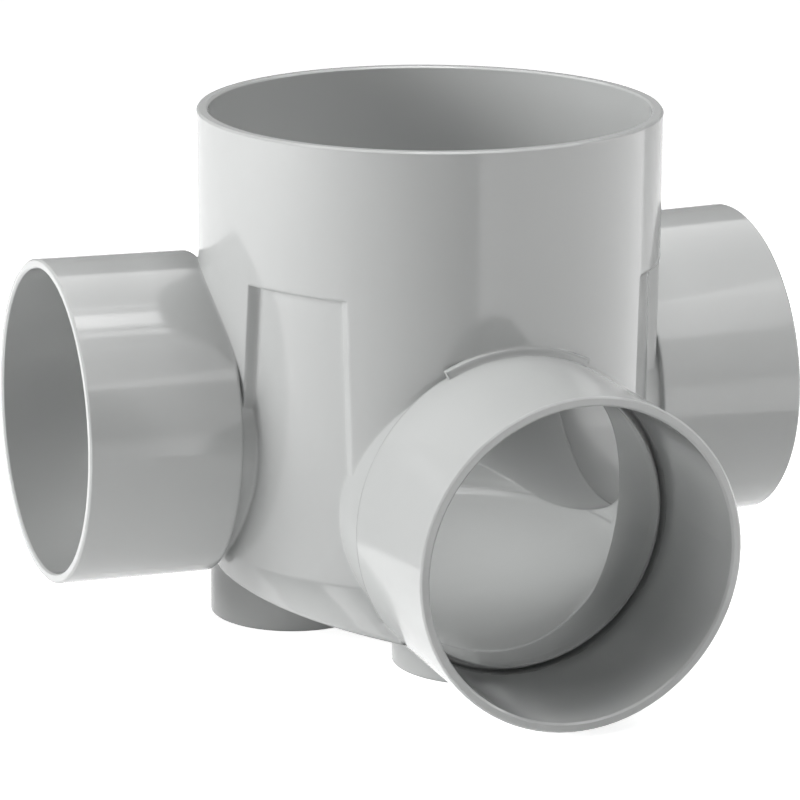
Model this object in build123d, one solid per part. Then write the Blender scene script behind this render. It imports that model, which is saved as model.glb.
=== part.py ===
from build123d import *
from math import cos, radians, sin, tan
import os

# Drain inspection chamber, injection moulded in one piece, in millimetres.
# Z = 0 is the stop inside the riser socket, on the riser's axis. The outlet points along -Y.

# Sockets, sized for the pipes that are cemented into them
riser_pipe = 165.0
branch_pipe = 114.0
riser_play = 0.2
branch_play = 0.4
riser_wall = 4.3
branch_wall = 3.6
riser_socket_depth = 52.0
branch_socket_depth = 55.0
mouth_bevel = 0.7

# Well below the riser. Its wall is a named stop's width inside the riser's bore.
riser_stop_width = 3.7
well_wall = 4.0
panel_top = -3.3

# Benches under the well, which widen from the round wall into a throat towards the outlet
bench_crease = -111.3
bench_edge = -122.4
bench_radius = 81.0
throat_front = 101.0
throat_half_width = 46.8
throat_parting = 28.0
inner_throat_half_width = 54.8

# Channel between the benches. It runs on from the outlet and ends round, under the inlets.
channel_back = 20.0

# Inlets, left and right, behind the riser's axis
inlet_set_back = 30.0
inlet_level = -67.0
inlet_fall = 0.02
inlet_reach = 143.0

# Outlet at the front
outlet_level = -84.0
outlet_reach = 147.0

# Passages between the sockets and the well
passage_radius = 54.2
passage_wall = 3.8
socket_shoulder = 84.8

# Saddles, which carry the riser's full radius down to the branches beside the recessed panels
inlet_saddle_front = -29.3
outlet_saddle_half_width = 57.4
inlet_saddle_draft = 0.07
outlet_saddle_draft = 0.025

# Raised arc on top of the inner end of the outlet's socket
collar_height = 2.8
collar_width = 3.0
collar_half_angle = 26.0

# Three hollow feet, one under the outlet side and one under each inlet
foot_level = -148.0
foot_top = -110.0
foot_radius = 31.8
foot_wall = 4.0
front_foot_set = 51.0
rear_foot_spread = 44.0

# Distance within which two places count as the same
near = 0.01

riser_bore = riser_pipe / 2 + riser_play
branch_bore = branch_pipe / 2 + branch_play
riser_radius = riser_bore + riser_wall
branch_radius = branch_bore + branch_wall
well_bore = riser_bore - riser_stop_width
well_radius = well_bore + well_wall
passage_outer = passage_radius + passage_wall
bench_floor = bench_edge + well_wall

# Axes of the branches. Each runs outwards from the plane through the middle of the chamber.
inlet_lines = [
    Plane(origin=(0, inlet_set_back, inlet_level), x_dir=(0, side, 0), z_dir=(side, 0, inlet_fall))
    for side in (-1, 1)
]
outlet_line = Plane(origin=(0, 0, outlet_level), x_dir=(1, 0, 0), z_dir=(0, -1, 0))


def rod(line, radius, start, end):
    """Round bar along a branch's axis, between two distances from the middle."""
    bar = Cylinder(radius, end - start, align=(Align.CENTER, Align.CENTER, Align.MIN))
    return line * (Pos(0, 0, start) * bar)


def drum(radius, bottom, top):
    """Upright round bar on the riser's axis."""
    bar = Cylinder(radius, top - bottom, align=(Align.CENTER, Align.CENTER, Align.MIN))
    return Pos(0, 0, bottom) * bar


def round_section(radius, half_angle, level):
    """Round outline of the well, parted where the throat leaves it."""
    away = radians(half_angle)
    side = (radius * sin(away), -radius * cos(away))
    outline = ThreePointArc((radius, 0), (0, radius), (-radius, 0))
    outline += ThreePointArc((-radius, 0), arc_middle(radius, -90, -half_angle), (-side[0], side[1]))
    outline += ThreePointArc((-side[0], side[1]), (0, -radius), side)
    outline += ThreePointArc(side, arc_middle(radius, half_angle, 90), (radius, 0))
    return Pos(0, 0, level) * make_face(outline)


def arc_middle(radius, first, last):
    """Point halfway along an arc, with angles counted from the outlet's side."""
    middle = radians((first + last) / 2)
    return (radius * sin(middle), -radius * cos(middle))


def throat_section(radius, half_width, front, level):
    """Outline of the benches' lower edge: round at the back, and narrowing to the outlet in front."""
    outline = ThreePointArc((radius, 0), (0, radius), (-radius, 0))
    outline += TangentArc((-radius, 0), (-half_width, -front), tangent=(0, -1))
    outline += Line((-half_width, -front), (half_width, -front))
    outline += TangentArc((radius, 0), (half_width, -front), tangent=(0, -1))
    return Pos(0, 0, level) * make_face(outline)


def well_form(radius, bench, half_width, front, top):
    """Upright drum, with the flare down to the benches' edge under it."""
    widest = throat_section(bench, half_width, front, bench_edge)
    flare = loft([round_section(radius, throat_parting, bench_crease), widest], ruled=True)
    return drum(radius, bench_crease, top) + flare


def channel(radius, reach):
    """Outlet's passage, run back under the well to a round end."""
    end = outlet_line * Pos(0, 0, -channel_back) * Sphere(radius)
    return rod(outlet_line, radius, -channel_back, reach) + end


def saddles():
    """Riser wall carried down over the branches, between the recessed panels."""
    reach = 2 * riser_radius
    shell = drum(riser_radius, outlet_level, panel_top)
    inlet_drop = panel_top - inlet_level
    inlet_side = Polyline(
        (inlet_saddle_front, panel_top),
        (inlet_saddle_front + inlet_saddle_draft * inlet_drop, inlet_level),
        (reach, inlet_level),
        (reach, panel_top),
        close=True,
    )
    inlet_zone = extrude(Plane.YZ * make_face(inlet_side), reach, both=True)
    outlet_drop = panel_top - outlet_level
    narrow = outlet_saddle_half_width - outlet_saddle_draft * outlet_drop
    outlet_side = Polyline(
        (-outlet_saddle_half_width, panel_top),
        (-narrow, outlet_level),
        (narrow, outlet_level),
        (outlet_saddle_half_width, panel_top),
        close=True,
    )
    outlet_zone = extrude(Plane.XZ * make_face(outlet_side), reach)
    return shell & (inlet_zone + outlet_zone)


def collar(line):
    """Low arc on top of a socket's inner end."""
    ring = rod(line, branch_radius + collar_height, socket_shoulder, socket_shoulder + collar_width)
    reach = 2 * branch_radius
    wedge_half = reach * tan(radians(collar_half_angle))
    wedge = Polyline((0, 0), (-wedge_half, reach), (wedge_half, reach), close=True)
    slab = extrude(make_face(wedge), outlet_reach)
    return ring & (line * slab)


def foot_places():
    """Centres of the feet."""
    rear = [(side * rear_foot_spread, inlet_set_back) for side in (-1, 1)]
    return Locations((0, -front_foot_set), *rear)


def outside():
    """The chamber as it would be with no hollows."""
    body = well_form(well_radius, bench_radius, throat_half_width, throat_front, panel_top)
    body += drum(riser_radius, panel_top, riser_socket_depth)
    body += saddles()
    for line in inlet_lines:
        body += rod(line, passage_outer, 0, socket_shoulder)
        body += rod(line, branch_radius, socket_shoulder, inlet_reach)
    body += channel(passage_outer, socket_shoulder)
    body += rod(outlet_line, branch_radius, socket_shoulder, outlet_reach)
    body += collar(outlet_line)
    foot = Cylinder(foot_radius, foot_top - foot_level, align=(Align.CENTER, Align.CENTER, Align.MIN))
    hollow_radius = foot_radius - foot_wall
    foot -= Cylinder(hollow_radius, foot_top - foot_level, align=(Align.CENTER, Align.CENTER, Align.MIN))
    for place in foot_places():
        body += Pos(0, 0, foot_level) * place * foot
    return body


def inside():
    """Everything that is open: well, passages and sockets."""
    bench = bench_radius - well_wall
    front = socket_shoulder - well_wall
    void = well_form(well_bore, bench, inner_throat_half_width, front, 0)
    void = split(void, bisect_by=Plane(origin=(0, 0, bench_floor)), keep=Keep.TOP)
    void += channel(passage_radius, outlet_reach)
    for line in inlet_lines:
        void += rod(line, passage_radius, 0, inlet_reach)
        void += rod(line, branch_bore, inlet_reach - branch_socket_depth, inlet_reach)
    void += rod(outlet_line, branch_bore, outlet_reach - branch_socket_depth, outlet_reach)
    void += drum(riser_bore, 0, riser_socket_depth)
    return void


def mouth_edges(solid, centre):
    """The inner and outer edges of the mouth that has this centre."""
    rings = solid.edges().filter_by(GeomType.CIRCLE)
    return rings.filter_by(lambda ring: (ring.arc_center - centre).length < near)


chamber = outside() - inside()
mouths = [line.offset(inlet_reach).origin for line in inlet_lines]
mouths += [outlet_line.offset(outlet_reach).origin, Vector(0, 0, riser_socket_depth)]
for mouth in mouths:
    chamber = chamfer(mouth_edges(chamber, mouth), mouth_bevel)
chamber.label = "chamber_body"

os.makedirs("parts", exist_ok=True)
export_step(chamber, "parts/chamber_body.step")
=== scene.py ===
import bpy
import math
from mathutils import Matrix, Vector
from mathutils.bvhtree import BVHTree
from mathutils.geometry import barycentric_transform


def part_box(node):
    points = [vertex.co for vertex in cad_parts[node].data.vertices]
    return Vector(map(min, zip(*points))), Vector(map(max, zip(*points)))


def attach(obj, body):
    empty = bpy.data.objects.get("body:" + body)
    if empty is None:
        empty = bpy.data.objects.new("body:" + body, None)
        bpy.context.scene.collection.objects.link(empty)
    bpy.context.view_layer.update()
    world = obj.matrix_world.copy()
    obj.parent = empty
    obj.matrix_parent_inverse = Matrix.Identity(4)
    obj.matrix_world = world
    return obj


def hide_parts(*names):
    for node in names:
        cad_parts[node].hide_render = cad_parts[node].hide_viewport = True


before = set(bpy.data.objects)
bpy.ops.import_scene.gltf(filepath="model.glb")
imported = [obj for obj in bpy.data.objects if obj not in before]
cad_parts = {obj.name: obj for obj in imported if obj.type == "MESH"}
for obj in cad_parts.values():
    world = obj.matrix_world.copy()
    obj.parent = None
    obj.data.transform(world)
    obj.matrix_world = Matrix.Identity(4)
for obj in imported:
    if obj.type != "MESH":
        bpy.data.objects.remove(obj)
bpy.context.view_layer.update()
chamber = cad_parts["chamber_body"]
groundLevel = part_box("chamber_body")[0].z
print("frame loaded")


def deselectAll():
    bpy.ops.object.select_all(action="DESELECT")


def pick(piece):
    deselectAll()
    piece.select_set(True)
    bpy.context.view_layer.objects.active = piece


# Camera, to the left of the outlet and a little above the chamber. Angles are in degrees.
view = {
    "turn": 21.3599,
    "lookDown": 15.2579,
    "tilt": 0.3151,
    "distance": 1.4483,
    "aside": -0.01056,
    "aimHeight": -0.06164,
    "lens": 171.28,
    "sensor": 36.0,
    "farthest": 20.0,
}


def addCamera(view):
    turn, down, tilt = (math.radians(view[name]) for name in ("turn", "lookDown", "tilt"))
    right = Vector((math.cos(turn), -math.sin(turn), 0))
    ahead = Vector((math.sin(turn) * math.cos(down), math.cos(turn) * math.cos(down), -math.sin(down)))
    up = right.cross(ahead)
    tiltedRight = math.cos(tilt) * right + math.sin(tilt) * up
    tiltedUp = math.cos(tilt) * up - math.sin(tilt) * right
    place = tiltedRight * view["aside"] + Vector((0, 0, view["aimHeight"])) - view["distance"] * ahead
    deselectAll()
    bpy.ops.object.camera_add()
    camera = bpy.context.active_object
    camera.name = "camera"
    camera.data.lens = view["lens"]
    camera.data.sensor_width = view["sensor"]
    camera.data.clip_end = view["farthest"]
    axes = Matrix((tiltedRight, tiltedUp, -ahead)).transposed().to_4x4()
    camera.matrix_world = Matrix.Translation(place) @ axes
    bpy.context.scene.camera = camera


addCamera(view)
print("camera placed")


# The chamber's shell: a copy of the solid, with the floor of its well scooped down to the outlet
scoop = {
    "wallRadius": 0.0791,  # inside of the round wall above the floor
    "wallTop": (0.0787, -0.108),  # radius and height where the cut starts, just clear of the solid
    "wallMiddle": -0.111,  # height from which the wall is upright
    "lowest": -0.1386,  # the floor along its middle
    "rise": 0.020,  # from the floor's middle to its rim at the back
    "steepest": 8.6,  # how sharply the floor bends across the channel at the outlet
    "bendPower": 4,  # how suddenly the bowl turns into the channel
    "cornerLift": 0.004,  # rounding between the floor and the wall
    "cornerWidth": 0.07,  # width of that rounding, as a share of the radius
    # rings of the floor, as shares of its radius
    "rings": (1.0, 0.992, 0.984, 0.97, 0.955, 0.93, 0.88, 0.8, 0.7, 0.58, 0.46, 0.34, 0.22, 0.12, 0.04),
    "underRadius": 0.0807,  # the floor's outside, below the solid's benches
    "underTop": -0.1219,
    "floorWall": 0.0039,  # thickness, straight down
    "round": 192,  # sides of a full circle
    "smoothAngle": 30,  # degrees, above which an edge stays sharp
    "mergeWithin": 0.000005,  # corners of the solid's triangles this close become one
    "facingCost": 0.0005,  # a surface that faces another way counts as this much farther off
}

# Fill for the lower front wall, which makes it round inside where the solid widens into a throat
shoulder = {
    "radius": 0.081,
    "top": -0.1106,
    "low": -0.1184,
    "bottom": -0.1219,
    "parting": 28,  # degrees from the outlet at which the throat leaves the round wall
    "innerThroat": (0.077, 0.0548, 0.0808),  # the solid's throat: radius, half width, front
    "outerThroat": (0.081, 0.0468, 0.101),
    "creaseRadius": 0.083,  # the solid's flare, from its crease down to its lower edge
    "creaseLevel": -0.1113,
    "edgeLevel": -0.1224,
    "start": 0.02,  # share of the arc at which the fill begins, beside the inlets
    "steps": 32,
}

# The outlet's passage, cut again through that fill
passage = {"radius": 0.05425, "level": -0.084, "front": 0.093}

# Narrow groove in each branch's pipe stop
grooves = {
    "lipRadius": 0.0549,
    "outerRadius": 0.0573,
    "beforeStop": 0.0004,  # how far the cut starts in front of the stop
    "lipSpare": 0.01,  # how far the core that keeps the lip runs on at each end
    "branches": [  # a point on the axis, the axis outwards, the stop's distance, the groove's depth
        ((0, 0, -0.084), (0, -1, 0), 0.092, 0.0055),
        ((0, 0.030, -0.067), (1, 0, 0.02), 0.088, 0.003),
        ((0, 0.030, -0.067), (-1, 0, 0.02), 0.088, 0.003),
    ],
}


def copyChamber(scoop):
    shell = bpy.data.objects.new("chamberShell", chamber.data.copy())
    bpy.context.scene.collection.objects.link(shell)
    pick(shell)
    bpy.ops.mesh.customdata_custom_splitnormals_clear()
    bpy.ops.object.mode_set(mode="EDIT")
    bpy.ops.mesh.select_all(action="SELECT")
    bpy.ops.mesh.remove_doubles(threshold=scoop["mergeWithin"])
    bpy.ops.object.mode_set(mode="OBJECT")
    return shell


def layRing(tool, ring):
    # the mesh's last points are the ring that was extruded last
    for vertex, point in zip(list(tool.data.vertices)[-len(ring):], ring):
        vertex.co = point


def addStack(name, rings):
    # a filled circle, extruded from ring to ring, which stays closed at both ends
    deselectAll()
    bpy.ops.mesh.primitive_circle_add(vertices=len(rings[0]), radius=1, fill_type="NGON")
    tool = bpy.context.active_object
    tool.name = name
    layRing(tool, rings[0])
    for ring in rings[1:]:
        bpy.ops.object.mode_set(mode="EDIT")
        bpy.ops.mesh.extrude_region()
        bpy.ops.object.mode_set(mode="OBJECT")
        layRing(tool, ring)
    bpy.ops.object.mode_set(mode="EDIT")
    bpy.ops.mesh.select_all(action="SELECT")
    bpy.ops.mesh.normals_make_consistent(inside=False)
    bpy.ops.object.mode_set(mode="OBJECT")
    return tool


def circle(sides, radius, level):
    turns = [2 * math.pi * k / sides for k in range(sides)]
    return [(radius * math.sin(turn), -radius * math.cos(turn), level) for turn in turns]


def floorHeight(scoop, x, y):
    # a bowl at the back, which narrows into a channel towards the outlet
    radius, power = scoop["wallRadius"], scoop["bendPower"]
    if y >= 0:
        return scoop["lowest"] + scoop["rise"] * (x * x + y * y) / radius ** 2
    flatness = (radius ** 2 - y * y) / scoop["rise"]
    bend = (flatness ** power + scoop["steepest"] ** -power) ** (-1 / power)
    return scoop["lowest"] + bend * x * x


def scoopRings(scoop, radius, drop, lift):
    # the floor from its rim to its middle, with its rim at this radius and its corner lifted by lift
    rings = []
    size = radius / scoop["wallRadius"]
    for share in scoop["rings"]:
        up = lift * max(0, (share - 1 + scoop["cornerWidth"]) / scoop["cornerWidth"]) ** 2
        ring = circle(scoop["round"], scoop["wallRadius"] * share, 0)
        rings.append([(x * size, y * size, floorHeight(scoop, x, y) + up - drop) for x, y, z in ring])
    return rings


def throatArc(side, halfWidth, front, share):
    # a point on the arc that leaves the round wall square to its side and runs in to the throat
    inward = side - halfWidth
    bend = (front ** 2 + inward ** 2) / (2 * inward)
    turn = math.asin(front / bend) * share
    return Vector((side - bend + bend * math.cos(turn), -bend * math.sin(turn)))


def shoulderRings(shoulder):
    # the front half of the wall, from the round wall down to the middle of the throat's wall
    side = math.pi / 2
    parting = math.radians(shoulder["parting"])
    crease = shoulder["creaseLevel"]
    fall = (crease - shoulder["low"]) / (crease - shoulder["edgeLevel"])
    high, low = [], []
    for k in range(shoulder["steps"] + 1):
        share = shoulder["start"] + (1 - shoulder["start"]) * k / shoulder["steps"]
        turn = side + (parting - side) * share
        away = Vector((math.sin(turn), -math.cos(turn)))
        inner = throatArc(*shoulder["innerThroat"], share)
        flare = away * shoulder["creaseRadius"]
        outer = flare.lerp(throatArc(*shoulder["outerThroat"], share), fall)
        high.append(away * shoulder["radius"])
        low.append((inner + outer) / 2)
    rings = []
    for row, level in ((high, "top"), (low, "low"), (low, "bottom")):
        right = [(point.x, point.y, shoulder[level]) for point in row]
        left = [(-x, y, z) for x, y, z in reversed(right)]
        rings.append(right + left)
    return rings


def combine(piece, tool, how):
    pick(piece)
    cut = piece.modifiers.new("combine", "BOOLEAN")
    cut.object = tool
    cut.operation = how
    cut.solver = "EXACT"
    bpy.ops.object.modifier_apply(modifier=cut.name)
    bpy.data.objects.remove(tool)


def addBar(sides, radius, origin, axis, start, end):
    # a round bar along a branch, between two distances from the middle
    deselectAll()
    along = Vector(axis).normalized()
    bpy.ops.mesh.primitive_cylinder_add(
        vertices=sides, radius=radius, depth=end - start,
        location=Vector(origin) + along * (start + end) / 2,
        rotation=along.to_track_quat("Z", "Y").to_euler(),
    )
    bar = bpy.context.active_object
    bpy.ops.object.transform_apply(location=True, rotation=True, scale=True)
    return bar


def addGroove(sides, grooves, origin, axis, stop, depth):
    inner, spare = stop - depth, grooves["lipSpare"]
    groove = addBar(sides, grooves["outerRadius"], origin, axis, inner, stop + grooves["beforeStop"])
    core = addBar(sides, grooves["lipRadius"], origin, axis, inner - spare, stop + spare)
    combine(groove, core, "DIFFERENCE")
    groove.name = "groove"
    return groove


def readNormals(mesh):
    # the triangles with the smooth normals at their corners, and a tree to find them by place
    mesh.calc_loop_triangles()
    places = [vertex.co.copy() for vertex in mesh.vertices]
    corners = [corner.vector.copy() for corner in mesh.corner_normals]
    triangles = mesh.loop_triangles
    tree = BVHTree.FromPolygons(places, [tuple(triangle.vertices) for triangle in triangles])
    rows = []
    for triangle in triangles:
        rows.append([places[k] for k in triangle.vertices] + [corners[k] for k in triangle.loops])
    return tree, rows


def smoothTool(tool, scoop):
    pick(tool)
    bpy.ops.object.shade_smooth_by_angle(angle=math.radians(scoop["smoothAngle"]))
    return readNormals(tool.data)


def carryNormals(shell, sources, scoop):
    # each face takes its normals from the smooth surface that it was cut from
    mesh = shell.data
    normals = [Vector((0, 0, 1))] * len(mesh.loops)
    for face in mesh.polygons:
        found = []
        for tree, rows in sources:
            spot, facing, index, gap = tree.find_nearest(face.center)
            found.append((gap + scoop["facingCost"] * (1 - abs(facing.dot(face.normal))), rows[index]))
        nearest = min(found, key=lambda pair: pair[0])[1]
        for k in face.loop_indices:
            point = mesh.vertices[mesh.loops[k].vertex_index].co
            normal = barycentric_transform(point, *nearest).normalized()
            normals[k] = normal if normal.dot(face.normal) > 0 else -normal
    pick(shell)
    bpy.ops.object.shade_smooth()
    mesh.normals_split_custom_set(normals)


def makeShell(scoop, shoulder, passage, grooves):
    sources = [readNormals(chamber.data)]
    shell = copyChamber(scoop)
    sides = scoop["round"]
    fill = addStack("shoulder", shoulderRings(shoulder))
    under = [circle(sides, scoop["underRadius"], scoop["underTop"])]
    under += scoopRings(scoop, scoop["underRadius"], scoop["floorWall"], 0)
    underFloor = addStack("underFloor", under)
    bore = addBar(sides, passage["radius"], (0, 0, passage["level"]), (0, -1, 0), 0, passage["front"])
    bore.name = "passage"
    wall = [circle(sides, *scoop["wallTop"]), circle(sides, scoop["wallRadius"], scoop["wallMiddle"])]
    hollow = addStack("hollow", wall + scoopRings(scoop, scoop["wallRadius"], 0, scoop["cornerLift"]))
    steps = [(fill, "UNION"), (underFloor, "UNION"), (bore, "DIFFERENCE"), (hollow, "DIFFERENCE")]
    steps += [(addGroove(sides, grooves, *branch), "DIFFERENCE") for branch in grooves["branches"]]
    for tool, how in steps:
        print("shell:", tool.name, how.lower())
        sources.append(smoothTool(tool, scoop))
        combine(shell, tool, how)
    carryNormals(shell, sources, scoop)
    return shell


shell = makeShell(scoop, shoulder, passage, grooves)
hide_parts("chamber_body")
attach(shell, "root")
print("shell made,", len(shell.data.polygons), "faces")


# Light grey moulded pipe plastic, with a soft gloss and the mould's rounded edges
plastic = {
    "colour": (0.499, 0.508, 0.504, 1),
    "shade": (0.479, 0.488, 0.484, 1),
    "cloudScale": 16.0,  # slow drift of tone and gloss, as the melt leaves it
    "cloudDetail": 3,
    "roughness": (0.10, 0.14),
    "refraction": 1.5,
    "rippleScale": 70.0,  # slight waviness of a moulded wall
    "rippleDetail": 1,
    "rippleDepth": 0.00006,
    "grainScale": 900.0,  # fine grain of the mould's surface
    "grainDetail": 2,
    "grainDepth": 0.000004,
    "edgeRound": 0.0018,
    "mouthEdgeRound": 0.0005,
    "mouths": (("X", -0.128), ("X", 0.128), ("Y", -0.131), ("Z", 0.040)),  # where the mouths begin
    "edgeSamples": 6,
}


def addNoise(nodes, links, place, scale, detail):
    noise = nodes.new("ShaderNodeTexNoise")
    noise.inputs["Scale"].default_value = scale
    noise.inputs["Detail"].default_value = detail
    links.new(place.outputs["Object"], noise.inputs["Vector"])
    return noise.outputs["Fac"]


def addBump(nodes, links, height, depth, under):
    bump = nodes.new("ShaderNodeBump")
    bump.inputs["Distance"].default_value = depth
    links.new(height, bump.inputs["Height"])
    links.new(under, bump.inputs["Normal"])
    return bump.outputs["Normal"]


def greatest(nodes, links, outputs):
    # the greatest of these outputs
    total = outputs[0]
    for other in outputs[1:]:
        most = nodes.new("ShaderNodeMath")
        most.operation = "MAXIMUM"
        links.new(total, most.inputs[0])
        links.new(other, most.inputs[1])
        total = most.outputs[0]
    return total


def edgeRadius(nodes, links, place, plastic):
    # edges are rounded more in the body than at the four mouths
    split = nodes.new("ShaderNodeSeparateXYZ")
    links.new(place.outputs["Object"], split.inputs["Vector"])
    beyond = []
    for axis, level in plastic["mouths"]:
        past = nodes.new("ShaderNodeMath")
        past.operation = "GREATER_THAN" if level > 0 else "LESS_THAN"
        past.inputs[1].default_value = level
        links.new(split.outputs[axis], past.inputs[0])
        beyond.append(past.outputs[0])
    radius = nodes.new("ShaderNodeMapRange")
    radius.inputs["To Min"].default_value = plastic["edgeRound"]
    radius.inputs["To Max"].default_value = plastic["mouthEdgeRound"]
    links.new(greatest(nodes, links, beyond), radius.inputs["Value"])
    return radius.outputs["Result"]


def makePlastic(plastic):
    material = bpy.data.materials.new("mouldedGreyPlastic")
    material.use_nodes = True
    nodes, links = material.node_tree.nodes, material.node_tree.links
    shader = nodes["Principled BSDF"]
    shader.inputs["IOR"].default_value = plastic["refraction"]
    place = nodes.new("ShaderNodeTexCoord")
    cloud = addNoise(nodes, links, place, plastic["cloudScale"], plastic["cloudDetail"])
    tone = nodes.new("ShaderNodeMix")
    tone.data_type = "RGBA"
    tone.inputs["A"].default_value = plastic["shade"]
    tone.inputs["B"].default_value = plastic["colour"]
    links.new(cloud, tone.inputs["Factor"])
    links.new(tone.outputs["Result"], shader.inputs["Base Color"])
    gloss = nodes.new("ShaderNodeMapRange")
    gloss.inputs["To Min"].default_value, gloss.inputs["To Max"].default_value = plastic["roughness"]
    links.new(cloud, gloss.inputs["Value"])
    links.new(gloss.outputs["Result"], shader.inputs["Roughness"])
    edges = nodes.new("ShaderNodeBevel")
    edges.samples = plastic["edgeSamples"]
    links.new(edgeRadius(nodes, links, place, plastic), edges.inputs["Radius"])
    ripple = addNoise(nodes, links, place, plastic["rippleScale"], plastic["rippleDetail"])
    wavy = addBump(nodes, links, ripple, plastic["rippleDepth"], edges.outputs["Normal"])
    grain = addNoise(nodes, links, place, plastic["grainScale"], plastic["grainDetail"])
    links.new(addBump(nodes, links, grain, plastic["grainDepth"], wavy), shader.inputs["Normal"])
    return material


mouldedPlastic = makePlastic(plastic)
shell.data.materials.clear()
shell.data.materials.append(mouldedPlastic)
for place in chamber.material_slots:
    place.material = mouldedPlastic
print("plastic on the chamber")


# White floor that keeps the chamber's shadow, and a world that only shows and is mirrored
stage = {
    "floorSize": 9.0,
    "floorGrey": 0.92,
    "floorRoughness": 0.9,
    "floorGlow": 0.78,  # added to the lit floor where it is seen
    "skyLevel": 0.0,  # the light that the world gives
    "skyShown": 0.35,  # the world as it is seen
}


def shownRay(nodes, links):
    # 1 for the camera and for mirror and glass rays, 0 for the others
    path = nodes.new("ShaderNodeLightPath")
    kinds = ("Is Camera Ray", "Is Glossy Ray", "Is Transmission Ray")
    return greatest(nodes, links, [path.outputs[kind] for kind in kinds])


def addFloor(stage):
    deselectAll()
    bpy.ops.mesh.primitive_plane_add(size=stage["floorSize"], location=(0, 0, groundLevel))
    floor = bpy.context.active_object
    floor.name = "floor"
    bpy.ops.object.transform_apply(location=True, rotation=True, scale=True)
    material = bpy.data.materials.new("whiteFloor")
    material.use_nodes = True
    nodes, links = material.node_tree.nodes, material.node_tree.links
    shader = nodes["Principled BSDF"]
    grey = stage["floorGrey"]
    shader.inputs["Base Color"].default_value = (grey, grey, grey, 1)
    shader.inputs["Roughness"].default_value = stage["floorRoughness"]
    shader.inputs["Emission Color"].default_value = (1, 1, 1, 1)
    glow = nodes.new("ShaderNodeMapRange")
    glow.inputs["To Max"].default_value = stage["floorGlow"]
    links.new(shownRay(nodes, links), glow.inputs["Value"])
    links.new(glow.outputs["Result"], shader.inputs["Emission Strength"])
    floor.data.materials.append(material)


def addWorld(stage):
    world = bpy.data.worlds.new("studio")
    bpy.context.scene.world = world
    world.use_nodes = True
    nodes, links = world.node_tree.nodes, world.node_tree.links
    background = nodes["Background"]
    background.inputs["Color"].default_value = (1, 1, 1, 1)
    strength = nodes.new("ShaderNodeMapRange")
    strength.inputs["To Min"].default_value = stage["skyLevel"]
    strength.inputs["To Max"].default_value = stage["skyShown"]
    links.new(shownRay(nodes, links), strength.inputs["Value"])
    links.new(strength.outputs["Result"], background.inputs["Strength"])


addFloor(stage)
addWorld(stage)
print("floor and world set")


# Square lamps that light without a reflection: name, compass angle from the outlet, height angle, level
lamps = {
    "side": 0.6,
    "distance": 1.5,
    "places": [
        ("leftKey", -100, 15, 15.0),
        ("leftFill", -78, 15, 4.0),
        ("frontFill", 0, 50, 1.0),
        ("rightFill", 60, 50, 6.6),
    ],
}

# Panels, most of them for the gloss alone: name, centre, direction, width, height, level, use
panels = [
    ("topKey", (0.12, -0.07, 1.3), (0, 0, -1), 0.5, 0.5, 11.2, "light"),
    ("topSoft", (0.10, -0.10, 1.3), (0, 0, -1), 0.66, 0.62, 3.2, "shine"),
    ("topBright", (0.06, -0.09, 1.29), (0, 0, -1), 0.56, 0.26, 5.2, "shine"),
    ("topCard", (0.1, 0.25, 0.9), (0, 0, -1), 1.4, 1.5, 2.3, "shine"),
    ("foreCard", (0.1, -0.9, 0.95), (0, 0.6, -0.8), 1.4, 0.7, 2.1, "shine"),
    ("sideCard", (0.21, -0.17, 0.05), (-0.735, 0.679, 0), 0.626, 0.40, 1.6, "shine"),
    ("rightCard", (1.36, -0.5, 0.39), (-0.91, 0.33, -0.26), 0.6, 0.6, 4.0, "shine"),
]


def addLamp(name, spot, toward, width, height, level, use):
    deselectAll()
    bpy.ops.object.light_add(type="AREA", location=spot)
    lamp = bpy.context.active_object
    lamp.name = name
    lamp.data.shape = "RECTANGLE"
    lamp.data.size = width
    lamp.data.size_y = height
    lamp.data.energy = math.pi * width * height * level  # so that level is how bright the panel looks
    lamp.rotation_euler = Vector(toward).to_track_quat("-Z", "Y").to_euler()
    lamp.visible_diffuse = use == "light"
    lamp.visible_glossy = use == "shine"
    lamp.visible_camera = False


def addLamps(lamps, panels):
    side = lamps["side"]
    for name, compass, height, level in lamps["places"]:
        turn, rise = math.radians(compass), math.radians(height)
        out = math.cos(rise)
        away = Vector((math.sin(turn) * out, -math.cos(turn) * out, math.sin(rise)))
        addLamp(name, away * lamps["distance"], -away, side, side, level, "light")
    for panel in panels:
        addLamp(*panel)


addLamps(lamps, panels)
print("lamps and panels set")

bpy.context.scene.view_settings.view_transform = "Standard"
